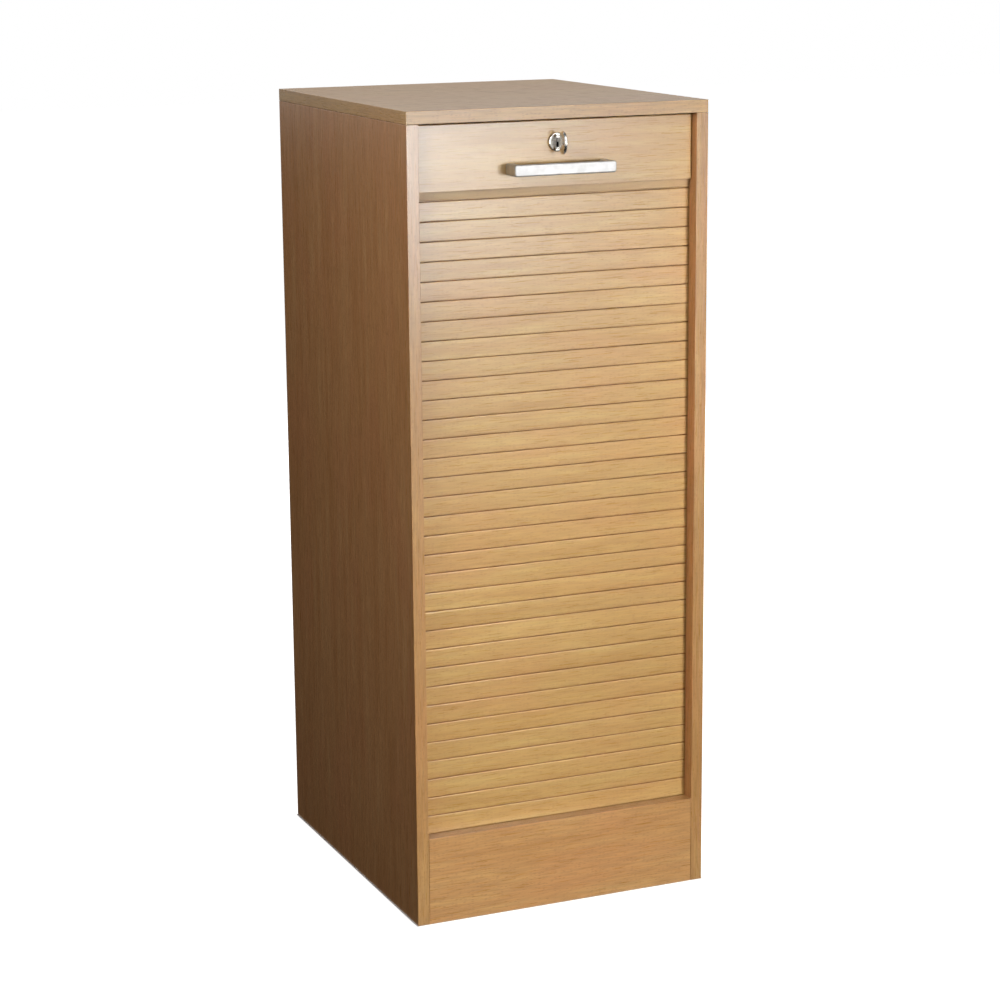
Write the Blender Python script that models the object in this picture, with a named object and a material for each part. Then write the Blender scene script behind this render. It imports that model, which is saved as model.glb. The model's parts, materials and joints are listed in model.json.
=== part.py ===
"""Tambour filing cabinet: a beech laminate column whose slatted shutter slides down behind the plinth.

Metres, +Z up, front towards -Y. The origin is on the floor, in the middle of the width and
midway between the back of the carcass and the foremost point of the handle and key.
"""

import math

import bmesh
import bpy

# Carcass boards
CABINET_WIDTH = 0.410
CABINET_DEPTH = 0.470
CABINET_HEIGHT = 1.040
SIDE_THICKNESS = 0.016
TOP_THICKNESS = 0.016
BOTTOM_THICKNESS = 0.016
PLINTH_HEIGHT = 0.1155
PLINTH_THICKNESS = 0.018
BACK_THICKNESS = 0.003
BACK_REBATE = 0.008
FALSE_BACK_THICKNESS = 0.004
FALSE_BACK_SLOT = 0.006
FALSE_BACK_WEB = 0.004
JOINT_GAP = 0.0003

# Shelves and the pins that carry them
SHELF_COUNT = 2
SHELF_THICKNESS = 0.016
SHELF_SIDE_GAP = 0.001
SHELF_CLEARANCE = 0.0065
PIN_RADIUS = 0.0025
PIN_EDGE = 0.0005
PIN_SEAT = 0.009
PIN_REACH = 0.008
PIN_INSET = 0.050

# Lead rail and slats of the shutter
RAIL_HEIGHT = 0.082
RAIL_THICKNESS = 0.016
RAIL_EDGE = 0.001
RAIL_PROUD = 0.007
RAIL_TOP_GAP = 0.002
RAIL_SIDE_GAP = 0.001
RAIL_TONGUE_SHOW = 0.0118
RAIL_TENON_INSET = 0.001
SLAT_PITCH = 0.02466
SLAT_THICKNESS = 0.007
SLAT_GAP = 0.0016
SLAT_EDGE = 0.0007
HOOK_WEB = 0.0015
HOOK_REACH = 0.0018
HOOK_LIP = 0.0016
HOOK_BEAD = 0.0033
HOOK_PLAY = 0.0003
PLINTH_CLEARANCE = 0.002
CURTAIN_CLEARANCE = 0.003

# Track routed into the side panels
TRACK_DEPTH = 0.008
TRACK_PLAY = 0.0005
TRACK_END_PLAY = 0.001
TRACK_BEND_RADIUS = 0.040
TRACK_FLOOR_WEB = 0.012
TRACK_BACK_WEB = 0.005
TRACK_REAR_RISE = 0.400
TRACK_BEND_STEPS = 8

# Bar handle and its screws
HANDLE_CENTRES = 0.128
HANDLE_POST = 0.010
HANDLE_HEIGHT = 0.0145
HANDLE_BAR = 0.008
HANDLE_PROJECTION = 0.029
HANDLE_EDGE = 0.0012
HANDLE_RISE = 0.0235
SCREW_RADIUS = 0.002
SCREW_HEAD_RADIUS = 0.004
SCREW_HEAD_HEIGHT = 0.0025
SCREW_BITE = 0.010
SCREW_CLEARANCE = 0.0003

# Cam lock, its key and its strike
FLANGE_RADIUS = 0.012
FLANGE_HEIGHT = 0.0035
FLANGE_EDGE = 0.0012
BARREL_RADIUS = 0.009
NUT_RADIUS = 0.013
NUT_HEIGHT = 0.004
NUT_SIDES = 6
BARREL_PAST_NUT = 0.001
LOCK_CLEARANCE = 0.0003
LOCK_DROP = 0.0274
PLUG_RADIUS = 0.0076
PLUG_SINK = 0.0006
TANG_SIDE = 0.007
TANG_LENGTH = 0.0035
CAM_WIDTH = 0.012
CAM_THICKNESS = 0.0025
CAM_HEADROOM = 0.0034
CAM_PLAY = 0.0008
KEYWAY_HEIGHT = 0.0118
KEYWAY_DEPTH = 0.020
KEYWAY_HEADROOM = 0.001
KEY_THICKNESS = 0.0026
BLADE_HEIGHT = 0.0036
BLADE_RISE = 0.0024
KEY_PROJECTION = 0.029
BOW_LENGTH = 0.019
BOW_HEIGHT = 0.029
BOW_THICKNESS = 0.004
BOW_EDGE = 0.0013
BOW_HOLE_RADIUS = 0.002
BOW_HOLE_INSET = 0.003
BOW_STEPS = 40
STRIKE_OFFSET = 0.012
STRIKE_WIDTH = 0.016
STRIKE_THICKNESS = 0.002
STRIKE_LIP = 0.006
STRIKE_FLANGE = 0.014

# Facets of round pieces, and how far a cutter runs past what it cuts
ROUND_SIDES = 32
PIN_SIDES = 16
OVERCUT = 0.002
FUSE_OVERLAP = 0.001

# Places worked out from the sizes above
inner_half = CABINET_WIDTH / 2 - SIDE_THICKNESS
slat_recess = PLINTH_THICKNESS + PLINTH_CLEARANCE
rail_recess = slat_recess - RAIL_PROUD
overhang = max(HANDLE_PROJECTION, KEY_PROJECTION) - rail_recess
front_y = (overhang - CABINET_DEPTH) / 2
back_y = front_y + CABINET_DEPTH
top_under = CABINET_HEIGHT - TOP_THICKNESS
slat_y = front_y + slat_recess
rail_y = front_y + rail_recess
rail_bottom = top_under - RAIL_TOP_GAP - RAIL_HEIGHT
first_groove = rail_bottom - RAIL_TONGUE_SHOW
slat_count = math.floor((first_groove - PLINTH_HEIGHT) / SLAT_PITCH) + 1
slat_half_length = inner_half + TRACK_DEPTH - TRACK_END_PLAY

track_half = SLAT_THICKNESS / 2 + TRACK_PLAY
track_front_y = slat_y + SLAT_THICKNESS / 2
track_rear_y = back_y - BACK_THICKNESS - JOINT_GAP - TRACK_BACK_WEB - track_half
track_bend_z = TRACK_FLOOR_WEB + track_half + TRACK_BEND_RADIUS
false_back_rear = track_rear_y - track_half - FALSE_BACK_WEB
false_back_front = false_back_rear - FALSE_BACK_THICKNESS

lock_rise = RAIL_HEIGHT - LOCK_DROP
barrel_end = RAIL_THICKNESS + JOINT_GAP + NUT_HEIGHT + BARREL_PAST_NUT
cam_front = barrel_end + LOCK_CLEARANCE
cam_back = cam_front + CAM_THICKNESS
tang_end = barrel_end + TANG_LENGTH
cam_reach = LOCK_DROP - CAM_HEADROOM
plug_front = PLUG_SINK - JOINT_GAP - FLANGE_HEIGHT
keyway_top = BLADE_RISE + BLADE_HEIGHT / 2 + KEYWAY_HEADROOM

shelf_front = rail_y + tang_end + SHELF_CLEARANCE
shelf_back = false_back_front - JOINT_GAP
shelf_space = (top_under - PLINTH_HEIGHT - SHELF_COUNT * SHELF_THICKNESS) / (SHELF_COUNT + 1)


def clear_scene():
    for thing in list(bpy.data.objects):
        bpy.data.objects.remove(thing, do_unlink=True)


def make_material(name, colour, roughness, metallic=0.0):
    material = bpy.data.materials.new(name)
    material.use_nodes = True
    shader = material.node_tree.nodes["Principled BSDF"]
    shader.inputs["Base Color"].default_value = (*colour, 1.0)
    shader.inputs["Roughness"].default_value = roughness
    shader.inputs["Metallic"].default_value = metallic
    return material


def add_prism(bm, outline, axis, low, high):
    """Extrudes a closed outline along X, Y or Z. Its two coordinates are the other axes, in order."""
    index = "XYZ".index(axis)

    def place(point, along):
        spot = list(point)
        spot.insert(index, along)
        return bm.verts.new(spot)

    start = [place(point, low) for point in outline]
    end = [place(point, high) for point in outline]
    count = len(outline)
    for i in range(count):
        j = (i + 1) % count
        bm.faces.new((start[i], start[j], end[j], end[i]))
    bm.faces.new(start)
    bm.faces.new(end)


def add_box(bm, low, high):
    outline = [(low[0], low[1]), (high[0], low[1]), (high[0], high[1]), (low[0], high[1])]
    add_prism(bm, outline, "Z", low[2], high[2])


def add_turned(bm, profile, axis, sides, closed=False, start_angle=0.0):
    """Turns a profile of (radius, along) points about X or Y. A closed profile makes a ring."""
    rings = []
    for radius, along in profile:
        ring = []
        for step in range(sides):
            angle = start_angle + 2 * math.pi * step / sides
            u = radius * math.cos(angle)
            v = radius * math.sin(angle)
            spot = (along, u, v) if axis == "X" else (u, along, v)
            ring.append(bm.verts.new(spot))
        rings.append(ring)
    pairs = list(zip(rings, rings[1:]))
    if closed:
        pairs.append((rings[-1], rings[0]))
    else:
        bm.faces.new(rings[0])
        bm.faces.new(rings[-1])
    for ring, following in pairs:
        for i in range(sides):
            j = (i + 1) % sides
            bm.faces.new((ring[i], ring[j], following[j], following[i]))


def make_mesh(name, bm, smooth=False):
    bmesh.ops.recalc_face_normals(bm, faces=bm.faces)
    mesh = bpy.data.meshes.new(name)
    bm.to_mesh(mesh)
    bm.free()
    if smooth:
        mesh.shade_smooth()
        mesh.set_sharp_from_angle(angle=math.radians(35))
    return mesh


def make_object(name, mesh, material, location=(0, 0, 0), parent=None):
    thing = bpy.data.objects.new(name, mesh)
    bpy.context.scene.collection.objects.link(thing)
    thing.location = location
    thing.parent = parent
    if material and not mesh.materials:
        mesh.materials.append(material)
    return thing


def apply_cutter(target, bm, operation="DIFFERENCE"):
    """Adds a Boolean to an object. The cutter is written in the object's own coordinates."""
    number = len(target.modifiers) + 1
    cutter = make_object(f"{target.name}_cutter_{number}", make_mesh("cutter", bm), None)
    cutter.location = target.location
    cutter.parent = target.parent
    cutter.hide_render = True
    cutter.display_type = "WIRE"
    boolean = target.modifiers.new("Cut", "BOOLEAN")
    boolean.operation = operation
    boolean.solver = "EXACT"
    boolean.object = cutter


def make_board(name, low, high, material):
    """A square-edged board, with its origin at its lowest corner."""
    bm = bmesh.new()
    add_box(bm, (0, 0, 0), [b - a for a, b in zip(low, high)])
    return make_object(name, make_mesh(name, bm), material, low)


def make_turned(name, profile, axis, sides, material, location, parent=None, closed=False, start_angle=0.0):
    bm = bmesh.new()
    add_turned(bm, profile, axis, sides, closed, start_angle)
    return make_object(name, make_mesh(name, bm, smooth=True), material, location, parent)


def arc(centre, radius, start, end, steps):
    """Points on a round stretch, from one angle to the other, both ends included."""
    points = []
    for step in range(steps + 1):
        angle = math.radians(start + (end - start) * step / steps)
        points.append((centre[0] + radius * math.cos(angle), centre[1] + radius * math.sin(angle)))
    return points


def track_outline():
    """The track seen from the side: front run, bend, bottom run, bend and rear run."""
    front_bend = (track_front_y + TRACK_BEND_RADIUS, track_bend_z)
    rear_bend = (track_rear_y - TRACK_BEND_RADIUS, track_bend_z)
    outer = TRACK_BEND_RADIUS + track_half
    inner = TRACK_BEND_RADIUS - track_half
    front_top = top_under + OVERCUT
    rear_top = track_bend_z + TRACK_REAR_RISE
    points = [(track_front_y - track_half, front_top)]
    points += arc(front_bend, outer, 180, 270, TRACK_BEND_STEPS)
    points += arc(rear_bend, outer, 270, 360, TRACK_BEND_STEPS)
    points += [(track_rear_y + track_half, rear_top), (track_rear_y - track_half, rear_top)]
    points += arc(rear_bend, inner, 360, 270, TRACK_BEND_STEPS)
    points += arc(front_bend, inner, 270, 180, TRACK_BEND_STEPS)
    points += [(track_front_y + track_half, front_top)]
    return points


def shelf_bottom(number):
    return PLINTH_HEIGHT + number * shelf_space + (number - 1) * SHELF_THICKNESS


def pin_places():
    """Middle of each pin, as (shelf number, front or back, y, z)."""
    places = []
    for number in range(1, SHELF_COUNT + 1):
        z = shelf_bottom(number) - JOINT_GAP - PIN_RADIUS
        places.append((number, "front", shelf_front + PIN_INSET, z))
        places.append((number, "back", shelf_back - PIN_INSET, z))
    return places


def make_side_panel(name, side, material):
    """A side panel. Side is -1 for the left and 1 for the right; cuts start from its inner face."""
    inner_x = side * inner_half
    outer_x = side * CABINET_WIDTH / 2
    low = (min(inner_x, outer_x), front_y, 0)
    high = (max(inner_x, outer_x), back_y, top_under - JOINT_GAP)
    panel = make_board(name, low, high, material)

    def span(depth):
        return sorted((inner_x - side * OVERCUT - low[0], inner_x + side * depth - low[0]))

    def shifted(outline):
        return [(y - low[1], z) for y, z in outline]

    bm = bmesh.new()
    add_prism(bm, shifted(track_outline()), "X", *span(TRACK_DEPTH))
    slot_front = false_back_front - JOINT_GAP
    slot_back = false_back_rear + JOINT_GAP
    slot = [(slot_front, PLINTH_HEIGHT), (slot_back, PLINTH_HEIGHT)]
    slot += [(slot_back, top_under + OVERCUT), (slot_front, top_under + OVERCUT)]
    add_prism(bm, shifted(slot), "X", *span(FALSE_BACK_SLOT))
    rebate_y = back_y - BACK_THICKNESS - JOINT_GAP
    rebate = [(rebate_y, -OVERCUT), (back_y + OVERCUT, -OVERCUT)]
    rebate += [(back_y + OVERCUT, top_under + OVERCUT), (rebate_y, top_under + OVERCUT)]
    add_prism(bm, shifted(rebate), "X", *span(BACK_REBATE))
    for _, _, y, z in pin_places():
        hole = arc((y, z), PIN_RADIUS + JOINT_GAP, 0, 360, PIN_SIDES)[:-1]
        add_prism(bm, shifted(hole), "X", *span(PIN_SEAT + JOINT_GAP))
    apply_cutter(panel, bm)


def make_carcass(laminate, hardboard):
    outer_half = CABINET_WIDTH / 2
    board_half = inner_half - JOINT_GAP
    make_side_panel("left_side_panel", -1, laminate)
    make_side_panel("right_side_panel", 1, laminate)
    make_board(
        "top_panel",
        (-outer_half, front_y, top_under),
        (outer_half, back_y, CABINET_HEIGHT),
        laminate,
    )
    make_board(
        "plinth_board",
        (-board_half, front_y, 0),
        (board_half, front_y + PLINTH_THICKNESS, PLINTH_HEIGHT),
        laminate,
    )
    make_board(
        "bottom_panel",
        (-board_half, slat_y + SLAT_THICKNESS + CURTAIN_CLEARANCE, PLINTH_HEIGHT - BOTTOM_THICKNESS),
        (board_half, false_back_rear, PLINTH_HEIGHT),
        laminate,
    )
    back_half = inner_half + BACK_REBATE - JOINT_GAP
    make_board(
        "back_panel",
        (-back_half, back_y - BACK_THICKNESS, 0),
        (back_half, back_y, top_under - JOINT_GAP),
        hardboard,
    )
    false_half = inner_half + FALSE_BACK_SLOT - JOINT_GAP
    make_board(
        "false_back_panel",
        (-false_half, false_back_front, PLINTH_HEIGHT + JOINT_GAP),
        (false_half, false_back_rear, top_under - JOINT_GAP),
        hardboard,
    )


def make_shelves(laminate, steel):
    half = inner_half - SHELF_SIDE_GAP
    for number in range(1, SHELF_COUNT + 1):
        low_z = shelf_bottom(number)
        make_board(
            f"shelf_{number}",
            (-half, shelf_front, low_z),
            (half, shelf_back, low_z + SHELF_THICKNESS),
            laminate,
        )
    for number, end, y, z in pin_places():
        for word, side in (("left", -1), ("right", 1)):
            profile = [
                (PIN_RADIUS - PIN_EDGE, -side * PIN_REACH),
                (PIN_RADIUS, side * (PIN_EDGE - PIN_REACH)),
                (PIN_RADIUS, side * (PIN_SEAT - PIN_EDGE)),
                (PIN_RADIUS - PIN_EDGE, side * PIN_SEAT),
            ]
            name = f"shelf_{number}_pin_{end}_{word}"
            make_turned(name, profile, "X", PIN_SIDES, steel, (side * inner_half, y, z))


def hook_channel(face_y, base_z):
    """Underside of a slat, from its back to its face: the channel that holds the next slat's bead."""
    back = face_y + SLAT_THICKNESS
    lip_back = back - HOOK_WEB - HOOK_PLAY
    channel_front = lip_back - HOOK_REACH
    lip_top = base_z + HOOK_LIP
    channel_top = lip_top + HOOK_BEAD + 2 * HOOK_PLAY
    return [
        (back, channel_top),
        (channel_front, channel_top),
        (channel_front, lip_top),
        (lip_back, lip_top),
        (lip_back, base_z),
        (face_y + SLAT_EDGE, base_z),
        (face_y, base_z + SLAT_EDGE),
    ]


def hook_bead(face_y, base_z):
    """Top of a slat, from its face to its back: the bead that hangs in the slat above."""
    back = face_y + SLAT_THICKNESS
    top = base_z + SLAT_PITCH - SLAT_GAP
    web_front = back - HOOK_WEB
    bead_front = web_front - HOOK_REACH
    bead_low = base_z + SLAT_PITCH + HOOK_LIP + HOOK_PLAY
    bead_top = bead_low + HOOK_BEAD
    return [
        (face_y, top - SLAT_EDGE),
        (face_y + SLAT_EDGE, top),
        (web_front, top),
        (web_front, bead_low),
        (bead_front, bead_low),
        (bead_front, bead_top),
        (back, bead_top),
    ]


def make_slats(material):
    bm = bmesh.new()
    add_prism(bm, hook_channel(0, 0) + hook_bead(0, 0), "X", -slat_half_length, slat_half_length)
    mesh = make_mesh("slat", bm)
    for number in range(1, slat_count + 1):
        base_z = first_groove - number * SLAT_PITCH + SLAT_GAP / 2
        make_object(f"slat_{number:02d}", mesh, material, (0, slat_y, base_z))


def make_lead_rail(material):
    """The lead rail. Its origin is on its face, at the middle of its lower edge."""
    half = inner_half - RAIL_SIDE_GAP
    tongue_base = SLAT_GAP / 2 - RAIL_TONGUE_SHOW
    outline = [
        (0, RAIL_EDGE),
        (0, RAIL_HEIGHT - RAIL_EDGE),
        (RAIL_EDGE, RAIL_HEIGHT),
        (RAIL_THICKNESS, RAIL_HEIGHT),
        (RAIL_THICKNESS, 0),
        (RAIL_PROUD + SLAT_THICKNESS, 0),
    ]
    outline += hook_channel(RAIL_PROUD, tongue_base)
    outline += [(RAIL_PROUD, 0), (RAIL_EDGE, 0)]
    bm = bmesh.new()
    add_prism(bm, outline, "X", -half, half)
    rail = make_object("lead_rail", make_mesh("lead_rail", bm), material, (0, rail_y, rail_bottom))

    bm = bmesh.new()
    add_box(
        bm,
        (-slat_half_length, RAIL_PROUD, RAIL_TENON_INSET),
        (slat_half_length, RAIL_PROUD + SLAT_THICKNESS, RAIL_HEIGHT - RAIL_TENON_INSET),
    )
    apply_cutter(rail, bm, "UNION")

    bm = bmesh.new()
    holes = [(0, lock_rise, BARREL_RADIUS + LOCK_CLEARANCE)]
    holes += [(x, HANDLE_RISE, SCREW_RADIUS + SCREW_CLEARANCE) for x in screw_places()]
    for x, z, radius in holes:
        circle = arc((x, z), radius, 0, 360, ROUND_SIDES)[:-1]
        add_prism(bm, circle, "Y", -OVERCUT, RAIL_THICKNESS + OVERCUT)
    apply_cutter(rail, bm)
    return rail


def screw_places():
    return (-HANDLE_CENTRES / 2, HANDLE_CENTRES / 2)


def make_handle(rail, satin, steel):
    """A bar on two square posts, screwed on from behind the rail."""
    outer = (HANDLE_CENTRES + HANDLE_POST) / 2
    inner = (HANDLE_CENTRES - HANDLE_POST) / 2
    bar_back = HANDLE_BAR - HANDLE_PROJECTION
    outline = [
        (-outer, -JOINT_GAP),
        (-outer, -HANDLE_PROJECTION),
        (outer, -HANDLE_PROJECTION),
        (outer, -JOINT_GAP),
        (inner, -JOINT_GAP),
        (inner, bar_back),
        (-inner, bar_back),
        (-inner, -JOINT_GAP),
    ]
    bm = bmesh.new()
    add_prism(bm, outline, "Z", -HANDLE_HEIGHT / 2, HANDLE_HEIGHT / 2)
    place = (0, 0, HANDLE_RISE)
    handle = make_object("handle", make_mesh("handle", bm), satin, place, rail)
    bevel = handle.modifiers.new("Edges", "BEVEL")
    bevel.width = HANDLE_EDGE
    bevel.segments = 2
    bevel.limit_method = "ANGLE"

    bm = bmesh.new()
    for x in screw_places():
        circle = arc((x, 0), SCREW_RADIUS + SCREW_CLEARANCE, 0, 360, ROUND_SIDES)[:-1]
        add_prism(bm, circle, "Y", -JOINT_GAP - SCREW_BITE - SCREW_CLEARANCE, OVERCUT)
    apply_cutter(handle, bm)

    head_front = RAIL_THICKNESS + JOINT_GAP
    profile = [
        (SCREW_RADIUS, -JOINT_GAP - SCREW_BITE),
        (SCREW_RADIUS, head_front),
        (SCREW_HEAD_RADIUS, head_front),
        (SCREW_HEAD_RADIUS, head_front + SCREW_HEAD_HEIGHT),
    ]
    for word, x in zip(("left", "right"), screw_places()):
        name = f"handle_screw_{word}"
        make_turned(name, profile, "Y", ROUND_SIDES, steel, (x, 0, HANDLE_RISE), rail)


def make_lock(rail, chrome, steel):
    """Housing and nut fixed in the rail, with the plug and cam that turn about the lock's axis, along Y."""
    place = (0, 0, lock_rise)
    bore = PLUG_RADIUS + LOCK_CLEARANCE
    housing = [
        (bore, -JOINT_GAP - FLANGE_HEIGHT),
        (FLANGE_RADIUS - 2 * FLANGE_EDGE, -JOINT_GAP - FLANGE_HEIGHT),
        (FLANGE_RADIUS - FLANGE_EDGE / 2, -JOINT_GAP - FLANGE_HEIGHT + FLANGE_EDGE / 2),
        (FLANGE_RADIUS, -JOINT_GAP - FLANGE_HEIGHT + 2 * FLANGE_EDGE),
        (FLANGE_RADIUS, -JOINT_GAP),
        (BARREL_RADIUS, -JOINT_GAP),
        (BARREL_RADIUS, barrel_end),
        (bore, barrel_end),
    ]
    make_turned("lock_housing", housing, "Y", ROUND_SIDES, chrome, place, rail, closed=True)

    nut_front = RAIL_THICKNESS + JOINT_GAP
    hexagon = arc((0, 0), NUT_RADIUS, 0, 360, NUT_SIDES)[:-1]
    bm = bmesh.new()
    add_prism(bm, hexagon, "Y", nut_front, nut_front + NUT_HEIGHT)
    nut = make_object("lock_nut", make_mesh("lock_nut", bm), steel, place, rail)
    bm = bmesh.new()
    circle = arc((0, 0), BARREL_RADIUS + LOCK_CLEARANCE, 0, 360, ROUND_SIDES)[:-1]
    add_prism(bm, circle, "Y", nut_front - OVERCUT, nut_front + NUT_HEIGHT + OVERCUT)
    apply_cutter(nut, bm)

    profile = [(PLUG_RADIUS, plug_front), (PLUG_RADIUS, barrel_end)]
    plug = make_turned("lock_plug", profile, "Y", ROUND_SIDES, chrome, place, rail)
    tang = TANG_SIDE / 2
    bm = bmesh.new()
    add_box(bm, (-tang, barrel_end - FUSE_OVERLAP, -tang), (tang, tang_end, tang))
    apply_cutter(plug, bm, "UNION")
    keyway_half = KEY_THICKNESS / 2 + LOCK_CLEARANCE
    bm = bmesh.new()
    add_box(
        bm,
        (-keyway_half, plug_front - OVERCUT, keyway_top - KEYWAY_HEIGHT),
        (keyway_half, plug_front + KEYWAY_DEPTH, keyway_top),
    )
    apply_cutter(plug, bm)

    cam_half = CAM_WIDTH / 2
    outline = arc((0, 0), cam_half, 180, 360, ROUND_SIDES // 2)
    outline += [(cam_half, cam_reach - cam_half / 2), (cam_half / 2, cam_reach)]
    outline += [(-cam_half / 2, cam_reach), (-cam_half, cam_reach - cam_half / 2)]
    bm = bmesh.new()
    add_prism(bm, outline, "Y", cam_front, cam_back)
    cam = make_object("lock_cam", make_mesh("lock_cam", bm), steel, place, rail)
    eye = tang + LOCK_CLEARANCE
    bm = bmesh.new()
    add_box(bm, (-eye, cam_front - OVERCUT, -eye), (eye, cam_back + OVERCUT, eye))
    apply_cutter(cam, bm)


def make_key(rail, chrome):
    """A key in the lock: flat blade in the upper part of the keyway, thick oval bow standing upright outside."""
    bow_half = BOW_THICKNESS / 2
    bow_radius = BOW_HEIGHT / 2
    bow_middle = BOW_LENGTH / 2 - KEY_PROJECTION
    profile = [
        (bow_radius - BOW_EDGE, -bow_half),
        (bow_radius, BOW_EDGE - bow_half),
        (bow_radius, bow_half - BOW_EDGE),
        (bow_radius - BOW_EDGE, bow_half),
    ]
    bm = bmesh.new()
    add_turned(bm, profile, "X", BOW_STEPS)
    bmesh.ops.scale(bm, vec=(1, BOW_LENGTH / BOW_HEIGHT, 1), verts=bm.verts)
    bmesh.ops.translate(bm, vec=(0, bow_middle, 0), verts=bm.verts)
    key = make_object("key", make_mesh("key", bm, smooth=True), chrome, (0, 0, lock_rise), rail)

    tip = plug_front + KEYWAY_DEPTH - LOCK_CLEARANCE
    low = BLADE_RISE - BLADE_HEIGHT / 2
    high = BLADE_RISE + BLADE_HEIGHT / 2
    shoulder = tip - BLADE_HEIGHT / 2
    blade = [(bow_middle, low), (shoulder, low), (tip, BLADE_RISE), (shoulder, high), (bow_middle, high)]
    half = KEY_THICKNESS / 2
    bm = bmesh.new()
    add_prism(bm, blade, "X", -half, half)
    apply_cutter(key, bm, "UNION")

    hole_middle = BOW_HOLE_INSET + BOW_HOLE_RADIUS - KEY_PROJECTION
    hole = arc((hole_middle, 0), BOW_HOLE_RADIUS, 0, 360, ROUND_SIDES)[:-1]
    bm = bmesh.new()
    add_prism(bm, hole, "X", -bow_half - OVERCUT, bow_half + OVERCUT)
    apply_cutter(key, bm)


def make_strike(steel):
    """A bent bracket under the top panel. The turned cam lies over its lip and holds the rail up."""
    leg_front = rail_y + cam_back + CAM_PLAY
    leg_back = leg_front + STRIKE_THICKNESS
    lip_top = rail_bottom + lock_rise - CAM_WIDTH / 2 - CAM_PLAY
    top = top_under - JOINT_GAP
    outline = [
        (leg_back + STRIKE_FLANGE, top),
        (leg_front, top),
        (leg_front, lip_top),
        (leg_front - STRIKE_LIP, lip_top),
        (leg_front - STRIKE_LIP, lip_top - STRIKE_THICKNESS),
        (leg_back, lip_top - STRIKE_THICKNESS),
        (leg_back, top - STRIKE_THICKNESS),
        (leg_back + STRIKE_FLANGE, top - STRIKE_THICKNESS),
    ]
    bm = bmesh.new()
    add_prism(bm, outline, "X", STRIKE_OFFSET, STRIKE_OFFSET + STRIKE_WIDTH)
    make_object("strike_bracket", make_mesh("strike_bracket", bm), steel)


def main():
    clear_scene()
    laminate = make_material("beech_laminate", (0.56, 0.36, 0.18), 0.45)
    slat_finish = make_material("beech_slat", (0.60, 0.40, 0.20), 0.42)
    hardboard = make_material("hardboard", (0.62, 0.55, 0.45), 0.7)
    satin = make_material("satin_nickel", (0.80, 0.79, 0.77), 0.3, 1.0)
    chrome = make_material("polished_chrome", (0.82, 0.82, 0.82), 0.12, 1.0)
    steel = make_material("zinc_plated_steel", (0.62, 0.62, 0.60), 0.4, 1.0)
    make_carcass(laminate, hardboard)
    make_shelves(laminate, steel)
    make_slats(slat_finish)
    rail = make_lead_rail(laminate)
    make_handle(rail, satin, steel)
    make_lock(rail, chrome, steel)
    make_key(rail, chrome)
    make_strike(steel)


main()
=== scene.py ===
"""Looks of the tambour filing cabinet: beech laminate, satin metal, lock and key, studio light and camera.

Metres, in the frame's own axes: +Z up, front towards -Y.
"""
import json
import math
import random

import bmesh
import bpy
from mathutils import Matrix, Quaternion, Vector


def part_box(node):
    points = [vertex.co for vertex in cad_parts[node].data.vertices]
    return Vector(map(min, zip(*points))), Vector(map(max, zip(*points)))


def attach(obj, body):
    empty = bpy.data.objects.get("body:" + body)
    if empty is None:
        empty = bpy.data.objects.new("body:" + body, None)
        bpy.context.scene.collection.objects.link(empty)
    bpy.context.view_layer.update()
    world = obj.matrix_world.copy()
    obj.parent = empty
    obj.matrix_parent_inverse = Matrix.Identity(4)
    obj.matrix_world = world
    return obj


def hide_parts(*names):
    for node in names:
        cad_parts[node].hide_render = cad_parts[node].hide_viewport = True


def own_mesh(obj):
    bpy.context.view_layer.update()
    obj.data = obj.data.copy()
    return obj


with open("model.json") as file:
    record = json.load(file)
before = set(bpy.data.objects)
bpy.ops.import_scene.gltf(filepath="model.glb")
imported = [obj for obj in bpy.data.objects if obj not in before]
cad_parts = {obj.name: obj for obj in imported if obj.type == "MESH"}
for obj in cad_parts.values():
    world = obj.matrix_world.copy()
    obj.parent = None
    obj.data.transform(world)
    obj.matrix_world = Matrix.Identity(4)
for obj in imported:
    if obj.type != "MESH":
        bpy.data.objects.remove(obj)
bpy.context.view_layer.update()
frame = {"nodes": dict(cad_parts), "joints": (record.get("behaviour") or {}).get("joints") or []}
nodes = frame["nodes"]

# Beech laminate: colours
BEECH_PALE = (0.550, 0.315, 0.124)
BEECH_MID = (0.512, 0.276, 0.104)
BEECH_DEEP = (0.470, 0.242, 0.086)
BEECH_ROSY = (0.525, 0.256, 0.103)
FLECK_COLOUR = (0.290, 0.130, 0.042)

# Beech laminate: features per metre, along the grain and across it
BANDS = (6.0, 90.0, 90.0)
MOTTLE = (30.0, 420.0, 420.0)
FIBRES = (30.0, 900.0, 900.0)
FLECKS = (170.0, 640.0, 640.0)
CLOUDS = (6.0, 14.0, 14.0)
BAND_DETAIL = 3.0

# Levels of the noise between which one look turns into the next
MID_STEP = (0.30, 0.50)
PALE_STEP = (0.50, 0.70)
ROSY_STEP = (0.45, 0.70)
MOTTLE_STEP = (0.30, 0.70)
FIBRE_STEP = (0.20, 0.80)

# Beech laminate: how strong its features are, and how they shine
ROSY_SHARE = 0.5
MOTTLE_SHADE = 0.08
FLECK_SHARE = 0.4
FLECK_REACH = 0.5
FLECK_CORE = FLECK_REACH / 3
FLECK_STRENGTH = 0.36
BOARD_FIGURE = 1.15
FOIL_FIGURE = 0.7
RAIL_FIGURE = 0.45
BEECH_ROUGH = (0.26, 0.33)
BEECH_SPECULAR = 0.8
BEECH_BUMP = 0.05
BEECH_BUMP_DEPTH = 0.0002
SLAT_TONE_SPREAD = 0.07
SLAT_TONE_SEED = 7

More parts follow.
